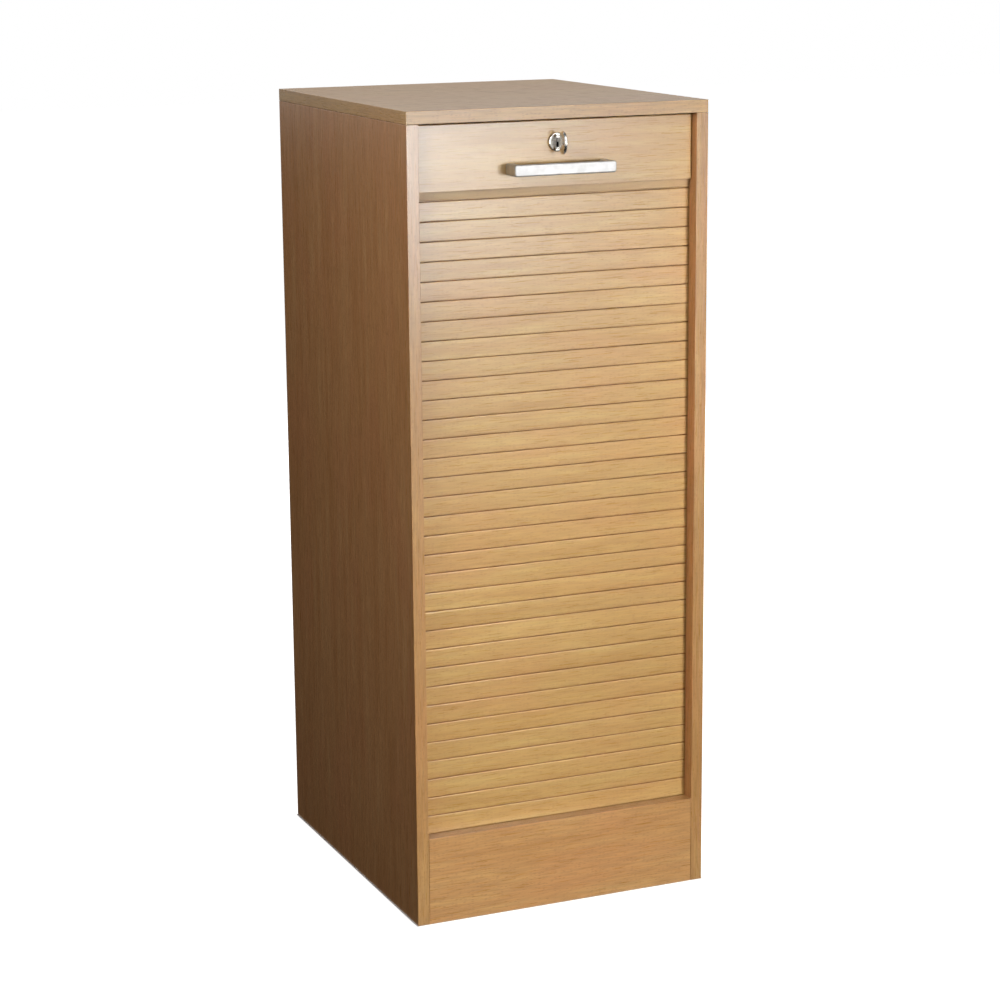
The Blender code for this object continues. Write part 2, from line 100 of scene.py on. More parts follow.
# Tints of boards, foil and their edges, which multiply the beech colours, some of them painted shade or
# painted light
PLAIN_TINT = (1.0, 1.0, 1.0)
SIDE_TINT = (1.0, 0.89, 0.93)
SIDE_EDGE_TINT = (0.87, 0.87, 0.83)
TOP_TINT = (1.0, 1.05, 0.95)
TOP_EDGE_TINT = (1.0, 1.08, 1.0)
TOP_EDGE_DULL = 0.09
# Painted shade on the plinth's top and bottom edges
PLINTH_EDGE_PAINTED_SHADE = (0.76, 0.74, 0.66)
FOIL_TINT = (1.0, 1.12, 1.03)
# Painted shade in the slats' grooves, on their upper rounds and tops
SLAT_GROOVE_PAINTED_SHADE = (0.60, 0.49, 0.32)
# Painted light on the slats' flat tops
SLAT_SHELF_PAINTED_LIGHT = (1.10, 0.98, 0.66)
# Painted shade, and more roughness, on the tongue below the rail's front edge
RAIL_FOOT_PAINTED_SHADE = 0.92
RAIL_FOOT_DULL = 0.20

# How squarely a face looks along an axis, 0 to 1, where its edge tint or painted edge shade, the slats'
# painted shelf light, or turned grain sets in
EDGE_FACING = (0.62, 0.80)
SHELF_PAINTED_LIGHT_FACING = (0.94, 0.99)
RIM_FACING = 0.7

# Hardboard: colours, features per metre, detail and roughness of the noise, and shine
HARDBOARD_DARK = (0.30, 0.185, 0.095)
HARDBOARD_LIGHT = (0.42, 0.275, 0.150)
HARDBOARD_FIBRE = (0.55, 0.40, 0.25)
HARDBOARD_MOTTLE = (60.0, 60.0, 60.0)
HARDBOARD_MOTTLE_NOISE = (4.0, 0.65)
HARDBOARD_FIBRES = (900.0, 900.0, 350.0)
HARDBOARD_FIBRE_NOISE = (3.0, 0.6)
HARDBOARD_FIBRE_STEP = (0.45, 0.75)
HARDBOARD_FIBRE_SHARE = 0.35
HARDBOARD_ROUGH = (0.62, 0.82)
HARDBOARD_BUMP = 0.25
HARDBOARD_BUMP_DEPTH = 0.0003

# Metals: colours, and the range of their roughness
ZINC_COLOUR = (0.58, 0.58, 0.56)
ZINC_ROUGH = (0.50, 0.66)
HANDLE_COLOUR = (0.67, 0.665, 0.66)
HANDLE_ROUGH = (0.56, 0.64)
ROSETTE_COLOUR = (0.68, 0.66, 0.62)
ROSETTE_ROUGH = (0.06, 0.12)
ROSETTE_BUMP = 0.01
PLUG_COLOUR = (0.46, 0.44, 0.41)
PLUG_ROUGH = (0.24, 0.34)
KEY_COLOUR = (0.78, 0.76, 0.72)
KEY_ROUGH = (0.20, 0.28)
# Painted shade: near black on the walls of the plug's keyway
KEYWAY_PAINTED_SHADE = (0.006, 0.005, 0.005)

# Metals: brushed lines and clouds per metre, and what they do
BRUSHING = (40.0, 900.0, 900.0)
BRUSHING_STEP = (0.25, 0.75)
METAL_CLOUDS = (90.0, 90.0, 90.0)
METAL_CLOUD_DETAIL = 3.0
METAL_CLOUD_STEP = (0.35, 0.65)
METAL_CLOUD_SHADE = 0.86
METAL_BUMP = 0.02
METAL_BUMP_DEPTH = 0.0001

# Rounded edges
BOARD_EDGE = 0.0004
SMALL_EDGE = 0.0003
KEY_EDGE = 0.0006
EDGE_STEPS = 3
EDGE_ANGLE = 30.0
ROUND_PROFILE = 0.5
WELD_REACH = 0.00002
FLAT_ANGLE = 1.0
LONG_EDGE = 0.05
RAIL_CHAMFER = 0.0015

# Slats: the section that shows, its hook, and how nearly the slats close up
SLAT_GAP = 0.0008
SLAT_GROOVE = 0.0036
SLAT_TOP_ROUND = 0.0018
SLAT_LOW_ROUND = 0.0006
SLAT_ROUND_STEPS = 5
HOOK_WEB = 0.0015
HOOK_REACH = 0.0018
HOOK_LIP = 0.0016
HOOK_BEAD = 0.0033
HOOK_PLAY = 0.0003

# Handle
HANDLE_POST = 0.010
HANDLE_BAR = 0.008
HANDLE_END_ROUND = 0.0033
HANDLE_EDGE_ROUND = 0.0020
HANDLE_ROUND_STEPS = 5

# Lock
ROSETTE_SIDES = 96
ROSETTE_ROUND = 0.0015
ROSETTE_ROUND_STEPS = 6
ROSETTE_LIP = 0.0004
BARREL_RADIUS = 0.009
LOCK_CLEARANCE = 0.0003
# Where the plug's keyway walls get their painted shade
KEYWAY_HALF = 0.0016
KEYWAY_TOP = 0.0052
KEYWAY_HEIGHT = 0.0118
KEYWAY_DEPTH = 0.020
KEYWAY_MARGIN = 0.00004

# Nails in the back panel
NAIL_RADIUS = 0.0021
NAIL_HEIGHT = 0.0004
NAIL_TAPER = 0.8
NAIL_SIDES = 20
NAIL_INSET = 0.004
NAILS_UP = 7
NAILS_ACROSS = 3

# Camera
CAMERA_AIM = Vector((0.0161, 0.0080, 0.4929))
CAMERA_AZIMUTH = -23.44
CAMERA_ELEVATION = 12.74
CAMERA_ROLL = -0.46
CAMERA_DISTANCE = 3.5514
CAMERA_LENS = 94.1
CAMERA_SENSOR = 36.0

# Lamps that light the front, all from one place: the lower front, the upper right and the middle
FRONT_PLACE = Vector((0.62, -3.00, 0.93))
FRONT_AIM = Vector((-0.05, -0.21, 0.05))
FRONT_SIZE = (0.7, 0.6)
FRONT_SPREAD = 48.0
FRONT_POWER = 6.3
KICK_AIM = Vector((0.42, -0.21, 0.92))
KICK_SIZE = (0.4, 0.4)
KICK_SPREAD = 22.0
KICK_POWER = 0.95
MID_AIM = Vector((-0.08, -0.21, 0.58))
MID_SIZE = (0.3, 0.3)
MID_SPREAD = 17.0
MID_POWER = 0.17

# Softboxes that are only mirrored: in the flat of the front, and along the slats' upper rounds
SHINE_PLACE = Vector((0.62, -3.00, 0.895))
SHINE_AIM = Vector((0.62, 0.0, 0.895))
SHINE_SIZE = (1.1, 0.51)
SHINE_POWER = 38.5
RIDGE_PLACE = Vector((0.30, -1.60, 1.95))
RIDGE_AIM = Vector((0.0, -0.21, 1.0))
RIDGE_SIZE = (1.0, 0.7)
RIDGE_SPREAD = 48.0
RIDGE_POWER = 1.1

# Lamps for the left side, the top and the back
FILL_PLACE = Vector((-1.30, -0.90, 1.50))
FILL_AIM = Vector((-0.20, 0.0, 0.65))
FILL_SIZE = (0.7, 0.7)
FILL_POWER = 13.6
TOP_PLACE = Vector((0.25, 0.60, 2.60))
TOP_AIM = Vector((0.0, 0.10, 1.00))
TOP_SIZE = (1.2, 1.2)
TOP_POWER = 10.8
BACK_PLACE = Vector((2.00, 2.40, 1.10))
BACK_AIM = Vector((0.0, 0.20, 0.55))
BACK_SIZE = (1.5, 1.5)
BACK_POWER = 60.0
FULL_SPREAD = 180.0

# World and floor
WHITE = (1.0, 1.0, 1.0)
BLACK = (0.0, 0.0, 0.0)
WORLD_FILL = 0.04
WORLD_SEEN = 1.0
FLOOR_HALF = 14.0
FLOOR_NEAR = 0.8
FLOOR_FAR = 3.2
FLOOR_GLOW_NEAR = 0.80
FLOOR_GLOW_FAR = 1.0
FLOOR_WHITE = 0.80
FLOOR_BOUNCE = 0.05
# Width of the hairline round the cabinet where the floor loses its glow: a painted contact shadow
PAINTED_CONTACT_SHADOW_WIDTH = 0.002

# Flags: cloth, level ones as two (x, y) corners and a height, upright ones as left, right, y and height
FLAG_GREY = (0.03, 0.028, 0.025)
FLAG_WEAVE = (40.0, 40.0, 40.0)
FLOOR_FLAG = ((-4.0, -4.5), (4.0, 4.5), 0.002)
OVER_FLAG = ((-1.5, -2.6), (2.5, -0.15), 2.3)
SIDE_FLAG = (-4.5, -0.45, 2.3, 0.9)
BACK_FLAG = (-0.45, 4.5, 2.3, 1.4)

# Numbers of the Mix node's sockets for each kind of data: its two inputs and its output
MIX_SOCKETS = {"RGBA": (6, 7, 2), "VECTOR": (4, 5, 1)}


class Finish:
    """A material being built. Short calls add a node and hand back its output."""

    def __init__(self, name):
        self.material = bpy.data.materials.new(name)
        self.material.use_nodes = True
        self.tree = self.material.node_tree
        self.shader = self.tree.nodes["Principled BSDF"]

    def feed(self, socket, value):
        """Links an output to a socket, or sets the socket to a plain value."""
        if isinstance(value, bpy.types.NodeSocket):
            self.tree.links.new(value, socket)
        elif socket.type == "RGBA":
            socket.default_value = (*value, 1.0)
        else:
            socket.default_value = value

    def surface(self, name, value):
        self.feed(self.shader.inputs[name], value)

    def node(self, kind, settings, inputs):
        made = self.tree.nodes.new(kind)
        for name, value in settings.items():
            setattr(made, name, value)
        for name, value in inputs.items():
            self.feed(made.inputs[name], value)
        return made

    def place(self):
        """Each point's own place on the piece, in the frame's metres at rest."""
        return self.node("ShaderNodeTexCoord", {}, {}).outputs["Object"]

    def facing(self, axis):
        """How squarely the surface faces along an axis of the piece, either way, from 0 to 1."""
        normal = self.node("ShaderNodeTexCoord", {}, {}).outputs["Normal"]
        return self.math("ABSOLUTE", self.split(normal)["XYZ".index(axis)])

    def split(self, vector):
        return self.node("ShaderNodeSeparateXYZ", {}, {"Vector": vector}).outputs

    def joined(self, x, y, z):
        return self.node("ShaderNodeCombineXYZ", {}, {"X": x, "Y": y, "Z": z}).outputs["Vector"]

    def scaled(self, vector, scale):
        made = self.node("ShaderNodeVectorMath", {"operation": "MULTIPLY"}, {0: vector, 1: scale})
        return made.outputs["Vector"]

    def length(self, vector):
        made = self.node("ShaderNodeVectorMath", {"operation": "LENGTH"}, {0: vector})
        return made.outputs["Value"]

    def noise(self, vector, scale, detail=2.0, roughness=0.5):
        inputs = {"Vector": self.scaled(vector, scale), "Scale": 1.0}
        inputs.update({"Detail": detail, "Roughness": roughness})
        return self.node("ShaderNodeTexNoise", {}, inputs).outputs["Fac"]

    def cells(self, vector, scale):
        inputs = {"Vector": self.scaled(vector, scale), "Scale": 1.0}
        return self.node("ShaderNodeTexVoronoi", {}, inputs).outputs

    def math(self, operation, first, second=0.0):
        return self.node("ShaderNodeMath", {"operation": operation}, {0: first, 1: second}).outputs["Value"]

    def ranged(self, value, low, high, start=0.0, end=1.0):
        """A smooth step of a value from low to high, given out from start to end."""
        inputs = {"Value": value, "From Min": low, "From Max": high, "To Min": start, "To Max": end}
        made = self.node("ShaderNodeMapRange", {"interpolation_type": "SMOOTHSTEP"}, inputs)
        return made.outputs["Result"]

    def within(self, value, low, high):
        """1 where a value lies between two limits, else 0."""
        above = self.math("GREATER_THAN", value, low)
        return self.math("MULTIPLY", above, self.math("LESS_THAN", value, high))

    def mixed(self, share, first, second, blend="MIX", kind="RGBA"):
        made = self.node("ShaderNodeMix", {"data_type": kind, "blend_type": blend}, {0: share})
        first_socket, second_socket, output = MIX_SOCKETS[kind]
        self.feed(made.inputs[first_socket], first)
        self.feed(made.inputs[second_socket], second)
        return made.outputs[output]

    def bump(self, height, strength, distance):
        inputs = {"Height": height, "Strength": strength, "Distance": distance}
        self.surface("Normal", self.node("ShaderNodeBump", {}, inputs).outputs["Normal"])


def along_grain(finish, grain):
    """Coordinates whose X runs along the grain, which is X or Z, or 'rim' for boards edged all round."""
    place = finish.place()
    if grain == "X":
        return place
    x, y, z = finish.split(place)
    if grain == "Z":
        return finish.joined(z, x, y)
    sideways = finish.math("GREATER_THAN", finish.facing("X"), RIM_FACING)
    return finish.mixed(sideways, place, finish.joined(y, x, z), kind="VECTOR")


def beech_colour(finish, place):
    """Soft bands from deep to pale beech under rosy clouds."""
    bands = finish.noise(place, BANDS, BAND_DETAIL)
    clouds = finish.noise(place, CLOUDS)
    colour = finish.mixed(finish.ranged(bands, *MID_STEP), BEECH_DEEP, BEECH_MID)
    colour = finish.mixed(finish.ranged(bands, *PALE_STEP), colour, BEECH_PALE)
    return finish.mixed(finish.ranged(clouds, *ROSY_STEP, 0.0, ROSY_SHARE), colour, BEECH_ROSY)


def beech_flecks(finish, place):
    """1 in the core of each short fleck, fading to 0 round it."""
    flecks = finish.cells(place, FLECKS)
    chosen = finish.math("LESS_THAN", finish.split(flecks["Color"])[0], FLECK_SHARE)
    near = finish.ranged(flecks["Distance"], FLECK_REACH, FLECK_CORE)
    return finish.math("MULTIPLY", near, chosen)


def beech(name, grain, edged="", edge_tint_or_painted_shade=PLAIN_TINT, edge_dull=0.0, slatted=False, foot=None,
          tint=PLAIN_TINT, figure=BOARD_FIGURE):
    """Beech-effect laminate: soft bands, fine fibres and short flecks, as strong as the figure.

    Edged names the axis whose faces are banded, in a tint of their own, and perhaps duller. On the plinth
    and the slats that tint is painted shade, on the plinth's top and bottom and in the slats' grooves.
    Slatted foil has each slat's own tone, and painted light, a paler tint, on edges that lie square to that
    axis.
    Below a foot, given as a height, the foil is a little darker and duller: painted shade on the tongue
    under the rail's front edge.
    """
    finish = Finish(name)
    place = along_grain(finish, grain)
    mottle = finish.noise(place, MOTTLE)
    fibres = finish.noise(place, FIBRES)
    fleck = beech_flecks(finish, place)
    spread = figure * MOTTLE_SHADE
    shade = finish.ranged(mottle, *MOTTLE_STEP, 1.0 - spread, 1.0 + spread)
    rough = finish.ranged(fibres, *FIBRE_STEP, *BEECH_ROUGH)
    if edged:
        squarely = finish.facing(edged)
        banded = finish.ranged(squarely, *EDGE_FACING)
        # On the plinth and the slats this edge tint is painted shade
        tint = finish.mixed(banded, tint, edge_tint_or_painted_shade)
        if slatted:
            # Painted light: a paler tint on the slats' flat tops
            tint = finish.mixed(finish.ranged(squarely, *SHELF_PAINTED_LIGHT_FACING), tint, SLAT_SHELF_PAINTED_LIGHT)
        if edge_dull:
            rough = finish.math("ADD", rough, finish.math("MULTIPLY", banded, edge_dull))
    if slatted:
        slat_tone = finish.node("ShaderNodeAttribute", {"attribute_name": "slat_tone"}, {}).outputs["Fac"]
        shade = finish.math("MULTIPLY", shade, slat_tone)
    if foot is not None:
        # Painted shade on the foil below the rail's front edge
        under = finish.math("LESS_THAN", finish.split(finish.place())[2], foot)
        shade = finish.math("MULTIPLY", shade, finish.ranged(under, 0.0, 1.0, 1.0, RAIL_FOOT_PAINTED_SHADE))
        rough = finish.math("ADD", rough, finish.math("MULTIPLY", under, RAIL_FOOT_DULL))
    tone = finish.scaled(finish.joined(shade, shade, shade), tint)
    colour = finish.mixed(1.0, beech_colour(finish, place), tone, "MULTIPLY")
    colour = finish.mixed(finish.math("MULTIPLY", fleck, figure * FLECK_STRENGTH), colour, FLECK_COLOUR)
    finish.surface("Base Color", colour)
    finish.surface("Roughness", rough)
    finish.surface("Specular IOR Level", BEECH_SPECULAR)
    finish.bump(finish.math("SUBTRACT", fibres, fleck), BEECH_BUMP, BEECH_BUMP_DEPTH)
    return finish.material


def hardboard(name):
    """Thin brown fibreboard with a mottled, fibrous face."""
    finish = Finish(name)
    place = finish.place()
    mottle = finish.noise(place, HARDBOARD_MOTTLE, *HARDBOARD_MOTTLE_NOISE)
    fibres = finish.noise(place, HARDBOARD_FIBRES, *HARDBOARD_FIBRE_NOISE)
    colour = finish.mixed(finish.ranged(mottle, *MOTTLE_STEP), HARDBOARD_DARK, HARDBOARD_LIGHT)
    pale = finish.ranged(fibres, *HARDBOARD_FIBRE_STEP, 0.0, HARDBOARD_FIBRE_SHARE)
    finish.surface("Base Color", finish.mixed(pale, colour, HARDBOARD_FIBRE))
    finish.surface("Roughness", finish.ranged(fibres, *FIBRE_STEP, *HARDBOARD_ROUGH))
    finish.bump(fibres, HARDBOARD_BUMP, HARDBOARD_BUMP_DEPTH)
    return finish.material


def metal(name, colour, rough, bump=METAL_BUMP):
    """Plated or satin metal with fine brushing and a faint cloudiness."""
    finish = Finish(name)
    place = finish.place()
    lines = finish.noise(place, BRUSHING)
    clouds = finish.noise(place, METAL_CLOUDS, METAL_CLOUD_DETAIL)
    dull = tuple(METAL_CLOUD_SHADE * part for part in colour)
    finish.surface("Base Color", finish.mixed(finish.ranged(clouds, *METAL_CLOUD_STEP), dull, colour))
    finish.surface("Metallic", 1.0)
    finish.surface("Roughness", finish.ranged(lines, *BRUSHING_STEP, *rough))
    finish.bump(lines, bump, METAL_BUMP_DEPTH)
    return finish


def plug_metal(name):
    """The plug's metal, with the walls of its keyway painted black as their shade."""
    finish = metal(name, PLUG_COLOUR, PLUG_ROUGH)
    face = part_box("lock_plug")[0].y
    lock_x, lock_z = lock_axis()
    x, y, z = finish.split(finish.place())
    half = KEYWAY_HALF + KEYWAY_MARGIN
    top = lock_z + KEYWAY_TOP
    wide = finish.within(x, lock_x - half, lock_x + half)
    tall = finish.within(z, top - KEYWAY_HEIGHT - KEYWAY_MARGIN, top + KEYWAY_MARGIN)
    deep = finish.within(y, face - KEYWAY_MARGIN, face + KEYWAY_DEPTH + KEYWAY_MARGIN)
    inside = finish.math("MULTIPLY", wide, finish.math("MULTIPLY", tall, deep))
    # The keyway's walls get painted shade: near black and not metallic
    plated = finish.shader.inputs["Base Color"].links[0].from_socket
    finish.surface("Base Color", finish.mixed(inside, plated, KEYWAY_PAINTED_SHADE))
    finish.surface("Metallic", finish.math("SUBTRACT", 1.0, inside))
    return finish


def soften(node, width, material):
    """Gives a CAD node rounded edges and its finish."""
    piece = nodes[node]
    weld = piece.modifiers.new("Weld", "WELD")
    weld.merge_threshold = WELD_REACH
    flat = piece.modifiers.new("Flat", "DECIMATE")
    flat.decimate_type = "DISSOLVE"
    flat.angle_limit = math.radians(FLAT_ANGLE)
    bevel = piece.modifiers.new("Edges", "BEVEL")
    bevel.width = width
    bevel.segments = EDGE_STEPS
    bevel.limit_method = "ANGLE"
    bevel.angle_limit = math.radians(EDGE_ANGLE)
    even_shading(piece)
    finish_node(node, material)


def finish_node(node, material):
    nodes[node].data.materials.clear()
    nodes[node].data.materials.append(material)


def even_shading(piece):
    """Keeps flat faces flat in the shading, with the turn only at their rounded edges."""
    piece.modifiers.new("Shading", "WEIGHTED_NORMAL").keep_sharp = True


def make_piece(name, bm, material, body, slot, *replaced):
    """Turns a mesh under construction into a piece that rides on a body."""
    bmesh.ops.recalc_face_normals(bm, faces=bm.faces)
    mesh = bpy.data.meshes.new(name)
    bm.to_mesh(mesh)
    bm.free()
    mesh.shade_smooth()
    mesh.set_sharp_from_angle(angle=math.radians(EDGE_ANGLE))
    mesh.materials.append(material)
    piece = bpy.data.objects.new(name, mesh)
    bpy.context.scene.collection.objects.link(piece)
    even_shading(piece)
    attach(piece, body)
    if replaced:
        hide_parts(*replaced)
    return piece


def arc(centre, radius, start, end, steps):
    """Points round a centre from one angle to another, in degrees."""
    points = []
    for step in range(steps + 1):
        angle = math.radians(start + (end - start) * step / steps)
        points.append((centre[0] + radius * math.cos(angle), centre[1] + radius * math.sin(angle)))
    return points


def add_prism(bm, outline, axis, low, high):
    """Extrudes a closed outline along X or Z. Its two coordinates are the other axes, in order."""
    def place(point, along):
        return (along, *point) if axis == "X" else (*point, along)

    start = [bm.verts.new(place(point, low)) for point in outline]
    end = [bm.verts.new(place(point, high)) for point in outline]
    count = len(outline)
    for i in range(count):
        j = (i + 1) % count
        bm.faces.new((start[i], start[j], end[j], end[i]))
    bm.faces.new(start)
    bm.faces.new(end)
    bmesh.ops.recalc_face_normals(bm, faces=bm.faces)


def add_turned(bm, profile, centre, sides, closed):
    """Turns (radius, y) points about the line along Y through a centre. A closed profile makes a ring."""
    rings = []
    for radius, y in profile:
        ring = []
        for step in range(sides):
            angle = 2 * math.pi * step / sides
            spot = (centre.x + radius * math.cos(angle), y, centre.z + radius * math.sin(angle))
            ring.append(bm.verts.new(spot))
        rings.append(ring)
    pairs = list(zip(rings, rings[1:]))
    if closed:
        pairs.append((rings[-1], rings[0]))
    else:
        bm.faces.new(rings[0])
        bm.faces.new(rings[-1])
    for ring, following in pairs:
        for i in range(sides):
            j = (i + 1) % sides
            bm.faces.new((ring[i], ring[j], following[j], following[i]))


def round_edges(bm, edges, width, steps):
    """Rounds edges of a mesh under construction, as far as its faces leave room."""
    shape = {"segments": steps, "profile": ROUND_PROFILE, "affect": "EDGES"}
    bmesh.ops.bevel(bm, geom=edges, offset=width, clamp_overlap=True, **shape)


def long_edges(bm):
    """The long outer edges of a board that still turn a corner."""
    outer = [edge for edge in bm.edges if edge.is_convex and edge.calc_length() > LONG_EDGE]
    return [edge for edge in outer if edge.calc_face_angle(0.0) > math.radians(EDGE_ANGLE)]


def rail_front(points):
    """Those of the lead rail's points that lie on its front or on the chamfer below it."""
    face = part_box("lead_rail")[0].y
    return [point for point in points if point.co.y - face < RAIL_CHAMFER]


def rail_foot():
    """Height of the lead rail's lower front edge, above the tongue that carries the slats."""
    return min(point.co.z for point in rail_front(nodes["lead_rail"].data.vertices))


def make_rail(material):
    """The lead rail with a crisp lower front edge. Its holes for lock and screws keep their square rims."""
    bm = bmesh.new()
    bm.from_mesh(nodes["lead_rail"].data)
    bmesh.ops.remove_doubles(bm, verts=bm.verts, dist=WELD_REACH)
    bmesh.ops.dissolve_limit(bm, angle_limit=math.radians(FLAT_ANGLE), verts=bm.verts, edges=bm.edges)
    face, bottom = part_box("lead_rail")[0].y, rail_foot()
    chamfer = [vert for vert in rail_front(bm.verts) if vert.co.z - bottom < RAIL_CHAMFER]
    for vert in chamfer:
        vert.co.y, vert.co.z = face, bottom
    bmesh.ops.remove_doubles(bm, verts=chamfer, dist=WELD_REACH)
    round_edges(bm, long_edges(bm), BOARD_EDGE, EDGE_STEPS)
    make_piece("lead_rail_foiled", bm, material, "lead_rail", "beech_laminate", "lead_rail")


def slat_section(low, high, pitch):
    """Section of a slat as (y, z): hook channel, rounded face, groove, and the bead in the slat above."""
    face, back, base = low.y, high.y, low.z
    lip_back = back - HOOK_WEB - HOOK_PLAY
    channel_front = lip_back - HOOK_REACH
    lip_top = base + HOOK_LIP
    channel_top = lip_top + HOOK_BEAD + 2 * HOOK_PLAY
    top = base + pitch - SLAT_GAP
    groove_floor = face + SLAT_GROOVE
    rib_top = base + pitch - HOOK_PLAY
    web_front = back - HOOK_WEB
    bead_front = web_front - HOOK_REACH
    bead_low = base + pitch + HOOK_LIP + HOOK_PLAY
    points = [(back, channel_top), (channel_front, channel_top), (channel_front, lip_top)]
    points += [(lip_back, lip_top), (lip_back, base)]
    low_round = (face + SLAT_LOW_ROUND, base + SLAT_LOW_ROUND)
    points += arc(low_round, SLAT_LOW_ROUND, 270, 180, SLAT_ROUND_STEPS)
    top_round = (face + SLAT_TOP_ROUND, top - SLAT_TOP_ROUND)
    points += arc(top_round, SLAT_TOP_ROUND, 180, 90, SLAT_ROUND_STEPS)
    points += [(groove_floor, top), (groove_floor, rib_top), (web_front, rib_top)]
    points += [(web_front, bead_low), (bead_front, bead_low)]
    points += [(bead_front, high.z), (back, high.z)]
    return points


def make_slats(material):
    """Slats with rounded faces. As the shutter opens they close up into the pocket behind the plinth."""
    names = sorted(name for name in nodes if name.startswith("slat_"))
    first_low, first_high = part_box(names[0])
    pitch = first_low.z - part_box(names[1])[0].z
    tones = random.Random(SLAT_TONE_SEED)
    for name in names:
        low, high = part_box(name)
        bm = bmesh.new()
        add_prism(bm, slat_section(low, high, pitch), "X", low.x, high.x)
        piece = make_piece(f"{name}_foiled", bm, material, name, "beech_slat", name)
        tone = piece.data.attributes.new("slat_tone", "FLOAT", "POINT")
        value = 1.0 + SLAT_TONE_SPREAD * (tones.random() - 0.5)
        tone.data.foreach_set("value", [value] * len(piece.data.vertices))
        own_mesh(piece)


def make_handle(material):
    """A bar on two posts, with round corners at its ends, soft edges and flat feet against the rail."""
    low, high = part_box("handle")

    def at_end(edge, x):
        """True for an edge that runs back towards the rail at one end of the bar."""
        first, second = [vert.co for vert in edge.verts]
        return abs(first.x - x) + abs(second.x - x) + abs(first.z - second.z) < WELD_REACH

    bar_back = low.y + HANDLE_BAR
    left, right = low.x + HANDLE_POST, high.x - HANDLE_POST
    outline = [(low.x, high.y), (low.x, low.y), (high.x, low.y), (high.x, high.y)]
    outline += [(right, high.y), (right, bar_back), (left, bar_back), (left, high.y)]
    bm = bmesh.new()
    add_prism(bm, outline, "Z", low.z, high.z)
    ends = [edge for edge in bm.edges if at_end(edge, low.x) or at_end(edge, high.x)]
    round_edges(bm, ends, HANDLE_END_ROUND, HANDLE_ROUND_STEPS)
    square = [edge for edge in bm.edges if edge.calc_face_angle(0.0) > math.radians(EDGE_ANGLE)]
    off_rail = [edge for edge in square if any(high.y - vert.co.y > WELD_REACH for vert in edge.verts)]
    round_edges(bm, off_rail, HANDLE_EDGE_ROUND, HANDLE_ROUND_STEPS)
    make_piece("handle_bar", bm, material, "lead_rail", "satin_metal", "handle")


def lock_axis():
    """X and Z of the line that the lock turns about."""
    place = next(joint for joint in frame["joints"] if joint["name"] == "lock_turn")["pos_m"]
    return place[0], place[2]


def make_rosette(material):
    """The lock's housing: round flange with a soft rim outside, barrel through the rail."""
    low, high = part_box("lock_housing")
    plug_low, plug_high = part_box("lock_plug")
    centre = (low + high) / 2
    rim = (high.x - low.x) / 2
    bore = (plug_high.x - plug_low.x) / 2 + LOCK_CLEARANCE
    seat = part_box("lead_rail")[0].y - LOCK_CLEARANCE
    profile = [(bore, high.y), (bore, low.y + ROSETTE_LIP), (bore + ROSETTE_LIP, low.y)]
    turn = (rim - ROSETTE_ROUND, low.y + ROSETTE_ROUND)
    profile += arc(turn, ROSETTE_ROUND, 270, 360, ROSETTE_ROUND_STEPS)
    profile += [(rim, seat), (BARREL_RADIUS, seat), (BARREL_RADIUS, high.y)]
    bm = bmesh.new()
    add_turned(bm, profile, centre, ROSETTE_SIDES, closed=True)
    make_piece("lock_rosette", bm, material, "lead_rail", "lock_chrome", "lock_housing")


def nail_places():
    """Middles of the nails along the edges of the back panel, as (x, z)."""
    low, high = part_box("back_panel")
    left, right = low.x + NAIL_INSET, high.x - NAIL_INSET
    bottom, top = low.z + NAIL_INSET, high.z - NAIL_INSET
    places = []
    for step in range(NAILS_UP):
        z = bottom + (top - bottom) * (step + 0.5) / NAILS_UP
        places += [(left, z), (right, z)]
    for step in range(NAILS_ACROSS):
        places.append((left + (right - left) * (step + 0.5) / NAILS_ACROSS, top))
    return places


def make_nails(material):
    """Flat-headed nails that hold the back panel in its rebate."""
    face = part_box("back_panel")[1].y
    profile = [
        (NAIL_RADIUS, face - NAIL_HEIGHT),
        (NAIL_RADIUS, face + NAIL_HEIGHT / 2),
        (NAIL_RADIUS * NAIL_TAPER, face + NAIL_HEIGHT),
    ]
    bm = bmesh.new()
    for x, z in nail_places():
        add_turned(bm, profile, Vector((x, 0, z)), NAIL_SIDES, closed=False)
    make_piece("back_panel_nails", bm, material, "cabinet", "zinc_steel")


def dress_carcass():
    """Boards, lead rail, back panels and the zinc-plated small parts."""
    upright = beech("beech_upright", "Z", edged="Y", edge_tint_or_painted_shade=SIDE_EDGE_TINT, tint=SIDE_TINT)
    level = beech("beech_level", "X")
    # The plinth's top and bottom edges have painted shade
    plinth = beech("beech_plinth", "X", edged="Z", edge_tint_or_painted_shade=PLINTH_EDGE_PAINTED_SHADE)
    top = beech("beech_edged", "rim", edged="Y", edge_tint_or_painted_shade=TOP_EDGE_TINT, edge_dull=TOP_EDGE_DULL,
                tint=TOP_TINT)
    board = hardboard("hardboard_brown")
    zinc = metal("zinc_plate", ZINC_COLOUR, ZINC_ROUGH).material
    for name in ("left_side_panel", "right_side_panel"):
        soften(name, BOARD_EDGE, upright)
    for name in ("bottom_panel", "shelf_1", "shelf_2"):
        soften(name, BOARD_EDGE, level)
    soften("plinth_board", BOARD_EDGE, plinth)
    soften("top_panel", BOARD_EDGE, top)
    # The rail's foil is darker below its front edge: painted shade
    make_rail(beech("beech_rail", "X", foot=rail_foot(), tint=FOIL_TINT, figure=RAIL_FIGURE))
    for name in ("back_panel", "false_back_panel"):
        soften(name, SMALL_EDGE, board)
    small = [name for name in nodes if "_pin_" in name or "screw" in name]
    for name in small + ["strike_bracket", "lock_nut", "lock_cam"]:
        soften(name, SMALL_EDGE, zinc)
    make_nails(zinc)


